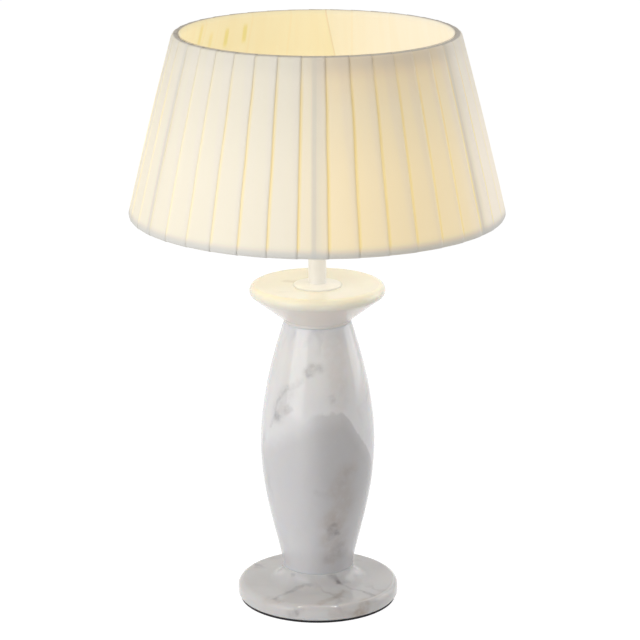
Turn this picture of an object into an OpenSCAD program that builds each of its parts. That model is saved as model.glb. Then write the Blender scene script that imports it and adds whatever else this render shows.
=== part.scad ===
// Table lamp of turned and polished marble with a pleated ribbon shade.
// Millimetres, +Z up. The origin is the centre of the pad's underside, on the table.
// Three stones stand on one hollow tie rod, which also carries the stem and the lampholder.

/* [Foot] */
// Diameter of the round marble foot
foot_d = 153.4; // [130:0.2:200]
// Thickness of the foot's slab, without the boss in its middle
foot_h = 15.4; // [15:0.2:24]
// Rounding of the slab's upper edge
foot_top_round = 6.5; // [2:0.5:8]
// Rounding of the slab's lower edge
foot_bottom_round = 4; // [1:0.5:6]
// Height of the boss that the body stands on
boss_h = 15.5; // [10:0.5:24]
// Radius of the hollow curve round the boss
cove_r = 14.5; // [5:0.5:20]
// Depth of the recess under the foot that holds the washer and the nut
recess_h = 14; // [14:0.5:15]
// Diameter of that recess
recess_d = 52; // [46:1:54]
// Thickness of the soft pad stuck under the foot
pad_t = 1.6; // [1:0.1:3]
// How far the pad stays back from the edge of the foot
pad_inset = 2.2; // [0.5:0.1:6]

/* [Body] */
// Height of the vase-shaped body
body_h = 242.5; // [200:0.5:300]
// Diameter where the body stands on the boss
body_foot_d = 67.8; // [60:0.2:80]
// Largest diameter of the body
belly_d = 108.3; // [90:0.1:130]
// Height of that largest diameter above the body's lower face
belly_up = 123.5; // [100:0.5:140]
// Diameter of the neck at the top of the body
neck_d = 63.6; // [56:0.2:76]
// Inward lean of the outline as it reaches the neck, as run over rise
neck_lean = 0.33; // [0.1:0.01:0.5]
// Rounding of the body's two arrises
body_arris = 0.8; // [0.3:0.1:2]

/* [Dish] */
// Diameter of the dish on top of the body
dish_d = 127.6; // [100:0.2:160]
// Height of the dish, up to its rim
dish_h = 35.6; // [26:0.1:45]
// How far the dish's top sinks from the rim towards the flange
dish_hollow = 1.9; // [0.4:0.1:3]
// Radius of the dish's rounded rim
dish_rim_r = 5.8; // [3:0.1:8]
// Height of the short upright neck under the dish
dish_neck_h = 2.5; // [1.5:0.1:5]
// Diameter of that neck
dish_neck_d = 64; // [56:0.2:76]

/* [Stem] */
// Diameter of the domed flange on the dish
flange_d = 45; // [38:0.5:60]
// Height of the flange where the stem stands on it
flange_h = 3; // [2.6:0.1:8]
// Diameter of the stem
stem_d = 17; // [14:0.5:22]
// Wall of the stem's tube
stem_wall = 1.5; // [0.8:0.1:2]
// Length of the stem's tube
stem_l = 40.3; // [20:0.1:90]

/* [Tie rod] */
// Outside diameter of the hollow tie rod
rod_d = 10; // [9:0.5:11]
// Diameter of the passage through the rod
rod_bore_d = 7.4; // [6:0.1:8]
// Diameter of the hole drilled through the stones
stone_bore_d = 14; // [13:0.5:18]
// Length of each bush that keeps the rod in the middle of that hole
bush_l = 8; // [5:0.5:12]
// Distance across the flats of the two nuts
nut_af = 17; // [15:0.5:19]
// Thickness of the nut under the foot
base_nut_h = 6; // [4:0.5:7]
// Thickness of the flat nut under the stem's flange
top_nut_h = 3.6; // [2.5:0.1:4]
// Diameter of the washer under the foot
base_washer_d = 42; // [30:1:44]
// Thickness of that washer
base_washer_t = 2; // [1.5:0.1:2.5]
// Diameter of the washer on the dish
top_washer_d = 26; // [22:0.5:28]
// Thickness of that washer
top_washer_t = 1.5; // [1:0.1:2]

/* [Cord inlet] */
// Diameter of the hole drilled in from the foot's back
cord_hole_d = 8.4; // [7:0.2:9]
// Height of that hole's middle above the foot's underside
cord_hole_up = 7; // [6:0.2:9]
// Passage through the bush in that hole
cord_bush_bore_d = 5.6; // [4:0.1:6]
// Diameter of the bush's collar
cord_bush_collar_d = 11.2; // [10:0.2:12]
// How far the bush reaches into the stone
cord_bush_l = 12; // [8:0.5:20]

/* [Lampholder] */
// Diameter of the holder's domed cap
cap_d = 41; // [40.6:0.1:46]
// Height of the cap
cap_h = 28; // [26:0.5:34]
// Height of the threaded barrel above the cap
barrel_h = 38; // [37.5:0.5:42]
// Diameter of the barrel, over its thread
barrel_d = 39.6; // [39:0.1:40.4]
// Height of the barrel's collar above the cap
collar_up = 16; // [14:0.5:17]
// Diameter of that collar and of the shade ring
collar_d = 56; // [50:0.5:58]
// Bore of the brass shell that takes the bulb's cap
shell_bore_d = 26.4; // [26.3:0.05:26.8]
// Length of the brass shell
shell_l = 25; // [20:0.5:25.5]
// Height of the shade ring
shade_ring_h = 10; // [7:0.5:11]
// Number of grip ribs round the shade ring
grip_ribs = 24; // [12:1:36]

/* [Bulb] */
// Diameter of the bulb
bulb_d = 60; // [50:1:64]
// Diameter of the bulb's screw cap
bulb_cap_d = 26.2; // [26.1:0.01:26.28]
// Length of the screw cap from its tip contact to its rim
bulb_cap_l = 27; // [26:0.5:29]
// Height of the white housing above the screw cap
housing_h = 36; // [28:0.5:44]
// Diameter of the housing where the opal dome sits on it
housing_d = 52; // [44:0.5:56]
// Wall of the opal dome
dome_wall = 1.2; // [0.8:0.1:2]
// Number of light chips on the board
chip_count = 12; // [6:1:16]

/* [Shade] */
// Diameter of the shade at its lower edge
shade_bottom_d = 350; // [300:1:400]
// Diameter of the shade at its upper edge
shade_top_d = 267.2; // [220:0.2:330]
// Height of the shade
shade_h = 171.1; // [150:0.1:220]
// Height of the carrier ring above the shade's lower edge
fitter_up = 20.6; // [18:0.1:32]
// Swell of the ribbons between the two rings
shade_swell = 0.8; // [0:0.1:3]
// Diameter of the wire in the two rings
ring_wire_d = 3.6; // [3.4:0.1:5]
// Diameter of the upright wires
strut_wire_d = 3.2; // [2.4:0.1:3.4]
// Diameter of the carrier's arms
arm_wire_d = 3; // [2.4:0.1:3.4]
// Number of upright wires
strut_count = 6; // [6:3:12]
// Turn of the first upright wire from straight front
strut_turn = -1; // [-10:0.5:10]
// Diameter of the carrier ring
fitter_d = 60; // [59:0.5:66]
// Hole in the carrier ring
fitter_bore_d = 42; // [41:0.5:44]
// Thickness of the carrier ring
fitter_t = 2; // [1.5:0.1:2.4]

/* [Shade cloth] */
// Number of ribbons round the shade
ribbon_count = 40; // [24:4:48]
// Width by which each ribbon laps over the next, at the lower edge
ribbon_lap = 4; // [2:0.5:8]
// Turn of the first lapped edge from straight front
ribbon_turn = 3.4; // [0:0.1:9]
// Thickness of one ribbon
ribbon_t = 0.35; // [0.25:0.05:0.5]
// Length of ribbon turned up inside each ring
hem_l = 6; // [3:0.5:10]
// Build-up of the tape wound round the upper ring
top_tape_t = 1.7; // [0.4:0.1:2.4]
// Build-up of the tape wound round the lower ring
bottom_tape_t = 0.4; // [0.4:0.1:2.4]
// Thickness of the lining
lining_t = 0.5; // [0.4:0.05:1]

/* [Hidden] */

// Colours as the photo shows them
stone = [0.86, 0.84, 0.82];
steel = [0.62, 0.63, 0.65];
brass = [0.80, 0.64, 0.32];
ivory = [0.93, 0.90, 0.84];
cloth = [0.95, 0.91, 0.82];
opal = [0.98, 0.96, 0.90];

// Fineness of round parts and of the points along an outline
turn_fn = 96;
wire_fn = 24;
tape_sides = 16;
curve_n = 30;
edge_n = 6;

// Clearances
slip = 0.05;       // between a round part and the hole that it sits in
running = 0.08;    // between the barrel and the ring that turns on it
seat = 0.1;        // between flat faces that move on each other
contact_gap = 0.3; // between the bulb's tip and the spring contact under it
weld = 0.6;        // how far a welded wire sinks into its neighbour
cut = 1;           // how far a cutting tool runs past the face that it cuts

// Heights of the faces in the stack, from the table up
foot_z = pad_t;
slab_top_z = foot_z + foot_h;
body_z = slab_top_z + boss_h;
dish_z = body_z + body_h;
dish_top_z = dish_z + dish_h - dish_hollow;
stem_z = dish_top_z + flange_h;
cap_z = stem_z + stem_l;
barrel_z = cap_z + cap_h;
collar_t = 2;
collar_z = barrel_z + collar_up;
fitter_z = collar_z + collar_t + seat;
ring_washer_t = 0.8;
ring_washer_z = fitter_z + fitter_t + seat;
shade_ring_z = ring_washer_z + ring_washer_t + seat;

// Stones
foot_r = foot_d / 2;
boss_arris = 0.3;
boss_land = 0.1;
boss_r = body_foot_d / 2 + boss_land;
recess_top_z = foot_z + recess_h;
belly_z = body_z + belly_up;
dish_arris = 0.3;
dish_seat_edge = 2;
dish_well_r = 15;
dish_well_h = 6.4;
stone_bore_r = stone_bore_d / 2;

// Tie rod: its nut, washers and bushes
rod_r = rod_d / 2;
lock_washer_t = 2;
lock_washer_split = 1.6;
base_nut_z = recess_top_z - base_washer_t - lock_washer_t - base_nut_h;
rod_end = 2;
rod_bottom_z = base_nut_z - rod_end;
cap_neck_h = 8.5;
rod_top_z = cap_z + cap_neck_h + 1.5;
bush_zs = [recess_top_z + 0.5, body_z + 1, dish_z - bush_l - 1, dish_z + 10];

// Stem
flange_edge = 1;
flange_round = 0.8;
flange_wall = 1.4;

// Lampholder
cap_r = cap_d / 2;
cap_neck_r = 8.5;
cap_wall = 2;
cap_bowl_r = cap_r - cap_neck_r;
cap_ledge_up = cap_h - 8;
ledge_w = 1.5;
spigot_l = 6;
spigot_r = cap_r - cap_wall - slip;
barrel_r = barrel_d / 2;
barrel_bore_r = 16.6;
barrel_lip_h = 4;
insert_up = cap_h + 8;
insert_r = barrel_bore_r - slip;
insert_well_r = 12;
insert_well_h = 8;
shell_r = shell_bore_d / 2;
shell_wall = 0.4;
shell_floor_t = 0.6;
shell_floor_r = 9.5;
shell_z = cap_z + insert_up;
terminal_x = 8;
screw_r = 1.5;
screw_head_r = 2.8;
screw_head_h = 2.2;
tongue_t = 0.5;
tongue_w = 6;
tongue_rise = 3.5;
lock_screw_up = 4;

// Bulb, from its tip up
bulb_r = bulb_d / 2;
bulb_z = shell_z + tongue_rise + contact_gap;
tip_r = 4.2;
tip_h = 1.5;
insulator_z = bulb_z + tip_h + slip;
insulator_h = 3.5;
insulator_r = 10.9;
bulb_cap_z = insulator_z + insulator_h;
bulb_cap_r = bulb_cap_d / 2;
bulb_cap_wall = 0.5;
bulb_cap_chamfer = 1.6;
housing_z = bulb_z + bulb_cap_l;
housing_r = housing_d / 2;
housing_spigot = 12;
dome_z = housing_z + housing_h;
dome_centre_z = dome_z + sqrt(pow(bulb_r, 2) - pow(housing_r, 2));
board_r = housing_r - 5;
board_t = 1.5;
chip_w = 2.8;
chip_t = 0.6;

// Shade: the two rings' centres and the slope of the wall between them
ply_gap = 0.2;
ply_lift = ribbon_t + ply_gap;
plies_t = ply_gap + ply_lift * (1 + ribbon_lap * ribbon_count / shade_bottom_d / PI) + ribbon_t;
ring_wire_r = ring_wire_d / 2;
strut_r = strut_wire_d / 2;
arm_r = arm_wire_d / 2;
roll_b = ring_wire_r + bottom_tape_t + plies_t;
roll_t = ring_wire_r + top_tape_t + plies_t;
shade_z = fitter_z - fitter_up;
ring_b = [shade_bottom_d / 2 - roll_b, shade_z + roll_b];
ring_t = [shade_top_d / 2 - roll_t, shade_z + shade_h - roll_t];
wall_l = norm(ring_t - ring_b);
wall_up = (ring_t - ring_b) / wall_l;
wall_out = [wall_up[1], -wall_up[0]];
wall_angle = atan2(wall_out[1], wall_out[0]);
lining_gap = 0.1;
arm_hole_gap = 0.3;
arm_z = fitter_z + fitter_t / 2;
strut_at_arm = ring_b[0] + (arm_z - ring_b[1]) * wall_up[0] / wall_up[1];

// Ribbon angles round the shade, and the steps that a ribbon's curves are drawn in
pitch_deg = 360 / ribbon_count;
ribbon_deg = pitch_deg + ribbon_lap / shade_bottom_d * 360 / PI;
ribbon_steps = ceil(ribbon_deg / 5.2);
roll_steps = 4;
swell_steps = 2;

function arc(c, r, from, to, n = edge_n) =
    [for (i = [0:n]) let (a = from + (to - from) * i / n) c + r * [cos(a), sin(a)]];

function bezier(a, b, c, d, n = curve_n) =
    [for (i = [0:n]) let (t = i / n, s = 1 - t)
        s * s * s * a + 3 * s * s * t * b + 3 * s * t * t * c + t * t * t * d];

// Centre height of the sphere about the axis that passes through two points of an outline
function dome_centre(a, b) = (b * b - a * a) / (2 * (b[1] - a[1]));

module turned(outline) rotate_extrude($fn = turn_fn) polygon(outline);

module tube(r_out, r_in, h) difference() {
    cylinder(r = r_out, h = h, $fn = turn_fn);
    translate([0, 0, -cut]) cylinder(r = r_in, h = h + 2 * cut, $fn = turn_fn);
}

module washer(r_out, h) tube(r_out, rod_r + 2 * slip, h);

module hex_nut(h) difference() {
    cylinder(r = nut_af / 2 / cos(30), h = h, $fn = 6);
    translate([0, 0, -cut]) cylinder(r = rod_r + slip, h = h + 2 * cut, $fn = turn_fn);
}

// Pad: one disc of dark foam rubber over the whole underside
module base_pad() color([0.14, 0.13, 0.14])
    cylinder(r = foot_r - pad_inset, h = pad_t, $fn = turn_fn);

// Foot: a slab with rounded edges and a boss that rises in a hollow curve
module marble_foot() color(stone) difference() {
    turned(concat(
        [[0, foot_z]],
        arc([foot_r - foot_bottom_round, foot_z + foot_bottom_round], foot_bottom_round, -90, 0),
        arc([foot_r - foot_top_round, slab_top_z - foot_top_round], foot_top_round, 0, 90, 2 * edge_n),
        arc([boss_r + cove_r, slab_top_z + cove_r], cove_r, -90, -180, 2 * edge_n),
        arc([boss_r - boss_arris, body_z - boss_arris], boss_arris, 0, 90),
        [[0, body_z]]));
    translate([0, 0, foot_z - cut]) cylinder(d = recess_d, h = recess_h + cut, $fn = turn_fn);
    translate([0, 0, foot_z]) cylinder(r = stone_bore_r, h = foot_h + boss_h + cut, $fn = turn_fn);
    translate([0, 0, foot_z + cord_hole_up]) rotate([-90, 0, 0])
        cylinder(d = cord_hole_d, h = foot_r + cut, $fn = turn_fn);
    translate([0, cord_seat_y, foot_z + cord_hole_up]) rotate([-90, 0, 0])
        cylinder(d = cord_bush_collar_d + 2 * slip, h = foot_r, $fn = turn_fn);
}

// The collar of the cord's bush sits on a small flat cut into the foot's back
cord_seat_y = foot_r - 1.1;
cord_collar_t = 1.5;
module cord_bush() color([0.12, 0.12, 0.12])
    translate([0, cord_seat_y, foot_z + cord_hole_up]) rotate([-90, 0, 0]) difference() {
        union() {
            cylinder(d = cord_bush_collar_d, h = cord_collar_t, $fn = turn_fn);
            translate([0, 0, -cord_bush_l])
                cylinder(r = cord_hole_d / 2 - slip, h = cord_bush_l + slip, $fn = turn_fn);
        }
        translate([0, 0, -cord_bush_l - cut])
            cylinder(d = cord_bush_bore_d, h = cord_bush_l + cord_collar_t + 2 * cut, $fn = turn_fn);
    }

module base_washer() color(steel)
    translate([0, 0, recess_top_z - base_washer_t]) washer(base_washer_d / 2, base_washer_t);

// Split spring washer between the flat washer and the nut
module lock_washer() color(steel)
    translate([0, 0, base_nut_z + base_nut_h]) difference() {
        washer(nut_af / 2, lock_washer_t);
        translate([0, -lock_washer_split / 2, -cut])
            cube([nut_af, lock_washer_split, lock_washer_t + 2 * cut]);
    }

module base_nut() color(brass) translate([0, 0, base_nut_z]) hex_nut(base_nut_h);

// Hollow rod through all three stones, the flange, the stem and the holder's neck
module tie_rod() color(steel)
    translate([0, 0, rod_bottom_z]) tube(rod_r, rod_bore_d / 2, rod_top_z - rod_bottom_z);

module centring_bushes() color(ivory)
    for (z = bush_zs) translate([0, 0, z]) tube(stone_bore_r - slip, rod_r + slip, bush_l);

// Body: two curves meet upright at the belly, and the lower one also starts upright
lower_reach = [17, 55];
upper_reach = [38, 38];
neck_r = neck_d / 2;
neck_arris_from = atan(neck_lean);
neck_end = [neck_r, dish_z - body_arris];
body_outline = concat(
    [[0, body_z]],
    arc([body_foot_d / 2 - body_arris, body_z + body_arris], body_arris, -90, 0),
    bezier([body_foot_d / 2, body_z + body_arris],
           [body_foot_d / 2, body_z + body_arris + lower_reach[0]],
           [belly_d / 2, belly_z - lower_reach[1]],
           [belly_d / 2, belly_z]),
    bezier([belly_d / 2, belly_z],
           [belly_d / 2, belly_z + upper_reach[0]],
           neck_end + upper_reach[1] * [neck_lean, -1],
           neck_end),
    arc(neck_end - body_arris * [cos(neck_arris_from), sin(neck_arris_from)], body_arris,
        neck_arris_from, 90),
    [[0, dish_z]]);

module marble_body() color(stone) difference() {
    turned(body_outline);
    translate([0, 0, body_z - cut]) cylinder(r = stone_bore_r, h = body_h + 2 * cut, $fn = turn_fn);
}

// Dish: a cone that runs tangent into the rounded rim, and a top that sinks to the flange's seat
dish_neck_end = [dish_neck_d / 2, dish_z + dish_neck_h];
dish_seat_end = [flange_d / 2 + dish_seat_edge, dish_top_z];
rim_centre = [dish_d / 2 - dish_rim_r, dish_z + dish_h - dish_rim_r];

// Slope of a line from a point that touches the rim, on its upper side (1) or its lower side (-1)
function rim_slope(p, side) = let (to_rim = rim_centre - p)
    atan2(to_rim[1], to_rim[0]) + side * asin(dish_rim_r / norm(to_rim));

module marble_dish() color(stone) difference() {
    turned(concat(
        [[0, dish_z]],
        arc([dish_neck_end[0] - dish_arris, dish_z + dish_arris], dish_arris, -90, 0),
        [dish_neck_end],
        arc(rim_centre, dish_rim_r, rim_slope(dish_neck_end, -1) - 90, rim_slope(dish_seat_end, 1) + 90,
            2 * edge_n),
        [dish_seat_end, [0, dish_top_z]]));
    translate([0, 0, dish_z - cut]) cylinder(r = stone_bore_r, h = dish_h + 2 * cut, $fn = turn_fn);
    translate([0, 0, dish_top_z - dish_well_h])
        cylinder(r = dish_well_r, h = dish_well_h + cut, $fn = turn_fn);
}

module top_washer() color(steel)
    translate([0, 0, dish_top_z - dish_well_h]) washer(top_washer_d / 2, top_washer_t);

module top_nut() color(brass)
    translate([0, 0, dish_top_z - dish_well_h + top_washer_t]) hex_nut(top_nut_h);

// Flange: a spun metal cover with a low dome and a flat seat for the stem
flange_r = flange_d / 2;
stem_seat_r = stem_d / 2 + 0.5;
dome_foot = [flange_r - flange_round, dish_top_z + flange_edge + flange_round];
dome_head = [stem_seat_r, stem_z];
flange_c = dome_centre(dome_foot, dome_head);
flange_dome_r = norm(dome_head - [0, flange_c]);

module stem_flange() color(ivory) difference() {
    turned(concat(
        [[0, dish_top_z], [flange_r, dish_top_z]],
        arc([flange_r - flange_round, dish_top_z + flange_edge], flange_round, 0, 90),
        arc([0, flange_c], flange_dome_r, atan2(dome_foot[1] - flange_c, dome_foot[0]),
            atan2(dome_head[1] - flange_c, dome_head[0]), 2 * edge_n),
        [[0, stem_z]]));
    translate([0, 0, dish_top_z - cut]) cylinder(r = rod_r + slip, h = flange_h + 2 * cut, $fn = turn_fn);
    translate([0, 0, dish_top_z - cut])
        cylinder(r = dish_well_r, h = flange_h - flange_wall + cut, $fn = turn_fn);
}

module stem_tube() color(ivory)
    translate([0, 0, stem_z]) tube(stem_d / 2, stem_d / 2 - stem_wall, stem_l);

// Cap of the lampholder: a neck on the rod, a bowl, and a ledge for the insert
module holder_cap() color([0.9, 0.89, 0.86]) difference() {
    turned(concat(
        [[0, cap_z], [cap_neck_r, cap_z]],
        arc([cap_neck_r, cap_z + cap_neck_h - cap_wall + cap_bowl_r], cap_bowl_r, -90, 0, 2 * edge_n),
        [[cap_r, barrel_z], [0, barrel_z]]));
    turned(concat(
        [[0, cap_z + cap_neck_h]],
        arc([cap_neck_r, cap_z + cap_neck_h + cap_bowl_r - cap_wall - ledge_w],
            cap_bowl_r - cap_wall - ledge_w, -90, 0, 2 * edge_n),
        [[cap_r - cap_wall - ledge_w, cap_z + cap_ledge_up],
         [cap_r - cap_wall, cap_z + cap_ledge_up],
         [cap_r - cap_wall, barrel_z + cut], [0, barrel_z + cut]]));
    translate([0, 0, cap_z - cut]) cylinder(r = rod_r + slip, h = cap_h, $fn = turn_fn);
    translate([0, 0, cap_z + lock_screw_up]) rotate([-90, 0, 0])
        cylinder(r = screw_r + slip, h = cap_neck_r + cut, $fn = turn_fn);
}

// Slotted screw that stops the cap from turning on the rod
lock_screw_in = rod_r + 2 * slip;
module holder_lock_screw() color(steel)
    translate([0, 0, cap_z + lock_screw_up]) rotate([-90, 0, 0]) difference() {
        translate([0, 0, lock_screw_in])
            cylinder(r = screw_r, h = cap_neck_r - lock_screw_in - slip, $fn = turn_fn);
        translate([-screw_r, -0.25, cap_neck_r - 0.8]) cube([2 * screw_r, 0.5, 1]);
    }

// Barrel: a spigot in the cap, the collar that the shade lies on, and a lip over the brass shell
module holder_barrel() color([0.9, 0.89, 0.86]) difference() {
    union() {
        translate([0, 0, barrel_z - spigot_l]) cylinder(r = spigot_r, h = spigot_l, $fn = turn_fn);
        translate([0, 0, barrel_z]) cylinder(r = barrel_r, h = barrel_h, $fn = turn_fn);
        translate([0, 0, collar_z]) cylinder(r = collar_d / 2, h = collar_t, $fn = turn_fn);
    }
    translate([0, 0, barrel_z - spigot_l - cut])
        cylinder(r = barrel_bore_r, h = barrel_h + spigot_l + cut - barrel_lip_h, $fn = turn_fn);
    translate([0, 0, barrel_z])
        cylinder(r = shell_r + shell_wall + slip, h = barrel_h + cut, $fn = turn_fn);
}

// Porcelain insert that carries the contacts, held between the cap's ledge and the spigot
module holder_insert() color([0.96, 0.95, 0.92]) difference() {
    union() {
        translate([0, 0, cap_z + cap_ledge_up])
            cylinder(r = insert_r, h = insert_up - cap_ledge_up, $fn = turn_fn);
        translate([0, 0, cap_z + cap_ledge_up])
            cylinder(r = spigot_r, h = barrel_z - spigot_l - cap_z - cap_ledge_up, $fn = turn_fn);
    }
    translate([0, 0, cap_z + cap_ledge_up - cut])
        cylinder(r = insert_well_r, h = insert_well_h + cut, $fn = turn_fn);
    for (x = [-terminal_x, terminal_x]) translate([x, 0, cap_z + cap_ledge_up])
        cylinder(r = screw_r + slip, h = insert_up - cap_ledge_up - 2, $fn = wire_fn);
}

module screw_shell() color(brass) translate([0, 0, shell_z]) difference() {
    cylinder(r = shell_r + shell_wall, h = shell_l, $fn = turn_fn);
    translate([0, 0, shell_floor_t]) cylinder(r = shell_r, h = shell_l, $fn = turn_fn);
    translate([0, 0, -cut]) cylinder(r = shell_floor_r, h = shell_l, $fn = turn_fn);
}

// Bent brass strip: it lies on the insert, folds back and springs up to the bulb's tip
tongue_x = shell_floor_r - 2.5;
module centre_contact() color(brass)
    translate([0, tongue_w / 2, shell_z]) rotate([90, 0, 0]) linear_extrude(tongue_w)
        polygon([
            [-tongue_x, 0], [tongue_x, 0], [tongue_x, 1.8], [2, tongue_rise], [-2, tongue_rise],
            [-2, tongue_rise - tongue_t], [2, tongue_rise - tongue_t], [tongue_x - tongue_t, 1.5],
            [tongue_x - tongue_t, tongue_t], [-tongue_x, tongue_t]]);

module terminal_screws() color(brass)
    for (x = [-terminal_x, terminal_x])
        translate([x, 0, cap_z + cap_ledge_up + insert_well_h - screw_head_h]) difference() {
            union() {
                cylinder(r = screw_head_r, h = screw_head_h, $fn = wire_fn);
                cylinder(r = screw_r, h = screw_head_h + 5, $fn = wire_fn);
            }
            translate([-screw_head_r, -0.3, -cut]) cube([2 * screw_head_r, 0.6, cut + 0.8]);
        }

// Carrier ring of the shade, which lies on the holder's collar
module fitter_ring() color(ivory)
    translate([0, 0, fitter_z]) tube(fitter_d / 2, fitter_bore_d / 2, fitter_t);

// Every second upright wire carries one arm
module at_struts(step = 1) for (i = [0:step:strut_count - 1])
    rotate([0, 0, -90 + strut_turn + (i + step - 1) * 360 / strut_count]) children();

module fitter_arms() color(ivory) at_struts(2)
    translate([fitter_d / 2 - weld, 0, arm_z]) rotate([0, 90, 0])
        cylinder(r = arm_r, h = strut_at_arm - strut_r + 2 * weld - fitter_d / 2, $fn = wire_fn);

module wire_ring(c) rotate_extrude($fn = turn_fn) translate(c) circle(r = ring_wire_r, $fn = wire_fn);

module bottom_ring() color(ivory) wire_ring(ring_b);

module top_ring() color(ivory) wire_ring(ring_t);

// A wire from ring to ring, which stops short of each ring's centre line
module strut(r, short) translate([ring_b[0], 0, ring_b[1]])
    rotate([0, atan2(wall_up[0], wall_up[1]), 0]) translate([0, 0, short])
        cylinder(r = r, h = wall_l - 2 * short, $fn = wire_fn);

module frame_struts() color(ivory) at_struts() strut(strut_r, ring_wire_r - weld);

// Cotton tape wound round each ring, with gaps for the upright wires
module tape_round(c, r) turned(arc(c, r, 0, 360 - 360 / tape_sides, tape_sides - 1));

module ring_tape(c, tape_t) difference() {
    tape_round(c, ring_wire_r + tape_t);
    tape_round(c, (ring_wire_r + slip) / cos(180 / tape_sides));
    at_struts() strut(strut_r + 2 * slip, 0);
}

module bottom_tape() color(cloth) ring_tape(ring_b, bottom_tape_t);

module top_tape() color(cloth) ring_tape(ring_t, top_tape_t);

// Lining: one cone of cloth inside the wires, with a slit for each arm
lining_b = ring_b - (roll_b + lining_gap) * wall_out;
lining_top = ring_t - (roll_t + lining_gap) * wall_out;
module shade_lining() color(opal) difference() {
    turned([lining_b, lining_top, lining_top - lining_t * wall_out, lining_b - lining_t * wall_out]);
    at_struts(2) translate([fitter_d / 2, 0, arm_z]) rotate([0, 90, 0])
        cylinder(r = arm_r + arm_hole_gap, h = strut_at_arm - fitter_d / 2, $fn = wire_fn);
}

// Path of a ribbon at a height over the tape: from the hem inside the lower ring, round that ring,
// up the wall with its swell, round the upper ring and down into the upper hem
function ribbon_path(over) =
    let (rb = ring_wire_r + bottom_tape_t + over, rt = ring_wire_r + top_tape_t + over)
    concat(
        [ring_b - rb * wall_out + hem_l * wall_up],
        arc(ring_b, rb, wall_angle - 180, wall_angle, roll_steps),
        [for (i = [1:swell_steps - 1]) let (s = i / swell_steps)
            ring_b + (ring_t - ring_b) * s
            + (rb + (rt - rb) * s + shade_swell * 4 * s * (1 - s)) * wall_out],
        arc(ring_t, rt, wall_angle, wall_angle + 180, roll_steps),
        [ring_t - rt * wall_out - hem_l * wall_up]);

// The same path stood up at an angle round the shade
function path_at(angle, over) =
    [for (p = ribbon_path(over)) [p[0] * cos(angle), p[0] * sin(angle), p[1]]];

// A ribbon lies on the tape along its first edge and climbs evenly to its last edge,
// which therefore clears the first edge of the ribbon after it
function ribbon_over(k) = ply_gap + ply_lift * k / ribbon_steps * ribbon_deg / pitch_deg;

// The lengthwise lines of one ribbon: across its outer face, then back across its inner face
function ribbon_angle(k) = (k / ribbon_steps - 1) * ribbon_deg;
ribbon_lines = concat(
    [for (k = [0:ribbon_steps]) path_at(ribbon_angle(k), ribbon_over(k) + ribbon_t)],
    [for (k = [ribbon_steps:-1:0]) path_at(ribbon_angle(k), ribbon_over(k))]);

module ribbon() {
    m = len(ribbon_lines);
    last = len(ribbon_lines[0]) - 1;
    sides = [for (j = [0:last - 1], c = [0:m - 1]) let (d = (c + 1) % m)
        each [[j * m + c, (j + 1) * m + c, j * m + d], [j * m + d, (j + 1) * m + c, (j + 1) * m + d]]];
    top = last * m;
    ends = [for (k = [0:ribbon_steps - 1]) let (a = k, b = k + 1, c = m - 2 - k, d = m - 1 - k)
        each [[a, b, d], [b, c, d], [top + a, top + d, top + b], [top + b, top + d, top + c]]];
    polyhedron([for (j = [0:last]) for (line = ribbon_lines) line[j]], concat(sides, ends));
}

module shade_ribbons() color(cloth)
    for (i = [0:ribbon_count - 1]) rotate([0, 0, -90 + ribbon_turn + i * pitch_deg]) ribbon();

// Thin washer carried in the shade ring, so that the carrier isn't dragged round
module ring_washer() color([0.85, 0.83, 0.78])
    translate([0, 0, ring_washer_z])
        tube(collar_d / 2 - 1, barrel_r + 4 * slip, ring_washer_t);

// Shade ring: a ribbed collar over a flange, threaded on the barrel
module shade_ring() color([0.9, 0.89, 0.86]) translate([0, 0, shade_ring_z]) difference() {
    union() {
        cylinder(r = collar_d / 2, h = collar_t, $fn = turn_fn);
        cylinder(r = barrel_r + 3, h = shade_ring_h, $fn = turn_fn);
        for (i = [0:grip_ribs - 1]) rotate([0, 0, i * 360 / grip_ribs])
            translate([barrel_r + 3, 0, 0]) cylinder(r = 0.9, h = shade_ring_h, $fn = wire_fn);
    }
    translate([0, 0, -cut])
        cylinder(r = barrel_r + running, h = shade_ring_h + 2 * cut, $fn = turn_fn);
}

module bulb_tip() color(steel) turned(concat(
    [[0, bulb_z], [tip_r - 1, bulb_z]],
    arc([tip_r - 1, bulb_z + 1], 1, -90, 0), [[tip_r, bulb_z + tip_h], [0, bulb_z + tip_h]]));

module bulb_insulator() color([0.1, 0.1, 0.11]) turned([
    [0, insulator_z], [tip_r + 1.3, insulator_z], [insulator_r, bulb_cap_z],
    [insulator_r, bulb_cap_z + 2], [0, bulb_cap_z + 2]]);

module bulb_cap() color(steel) turned([
    [insulator_r + slip, bulb_cap_z], [bulb_cap_r - bulb_cap_chamfer + 0.1, bulb_cap_z],
    [bulb_cap_r, bulb_cap_z + bulb_cap_chamfer], [bulb_cap_r, housing_z],
    [bulb_cap_r - bulb_cap_wall, housing_z], [bulb_cap_r - bulb_cap_wall, bulb_cap_z + 2],
    [insulator_r + slip, bulb_cap_z + 2]]);

// Housing of the bulb: it swells from the screw cap to the dome
module bulb_housing() color([0.95, 0.95, 0.94]) difference() {
    turned(concat(
        [[0, housing_z - housing_spigot],
         [bulb_cap_r - bulb_cap_wall - slip, housing_z - housing_spigot],
         [bulb_cap_r - bulb_cap_wall - slip, housing_z]],
        bezier([bulb_cap_r + 0.9, housing_z], [bulb_cap_r + 1.5, housing_z + housing_h * 0.35],
               [housing_r - 4, dome_z - housing_h * 0.3], [housing_r, dome_z], 2 * edge_n),
        [[0, dome_z]]));
    translate([0, 0, dome_z - board_t]) cylinder(r = board_r + slip, h = board_t + cut, $fn = turn_fn);
}

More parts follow.
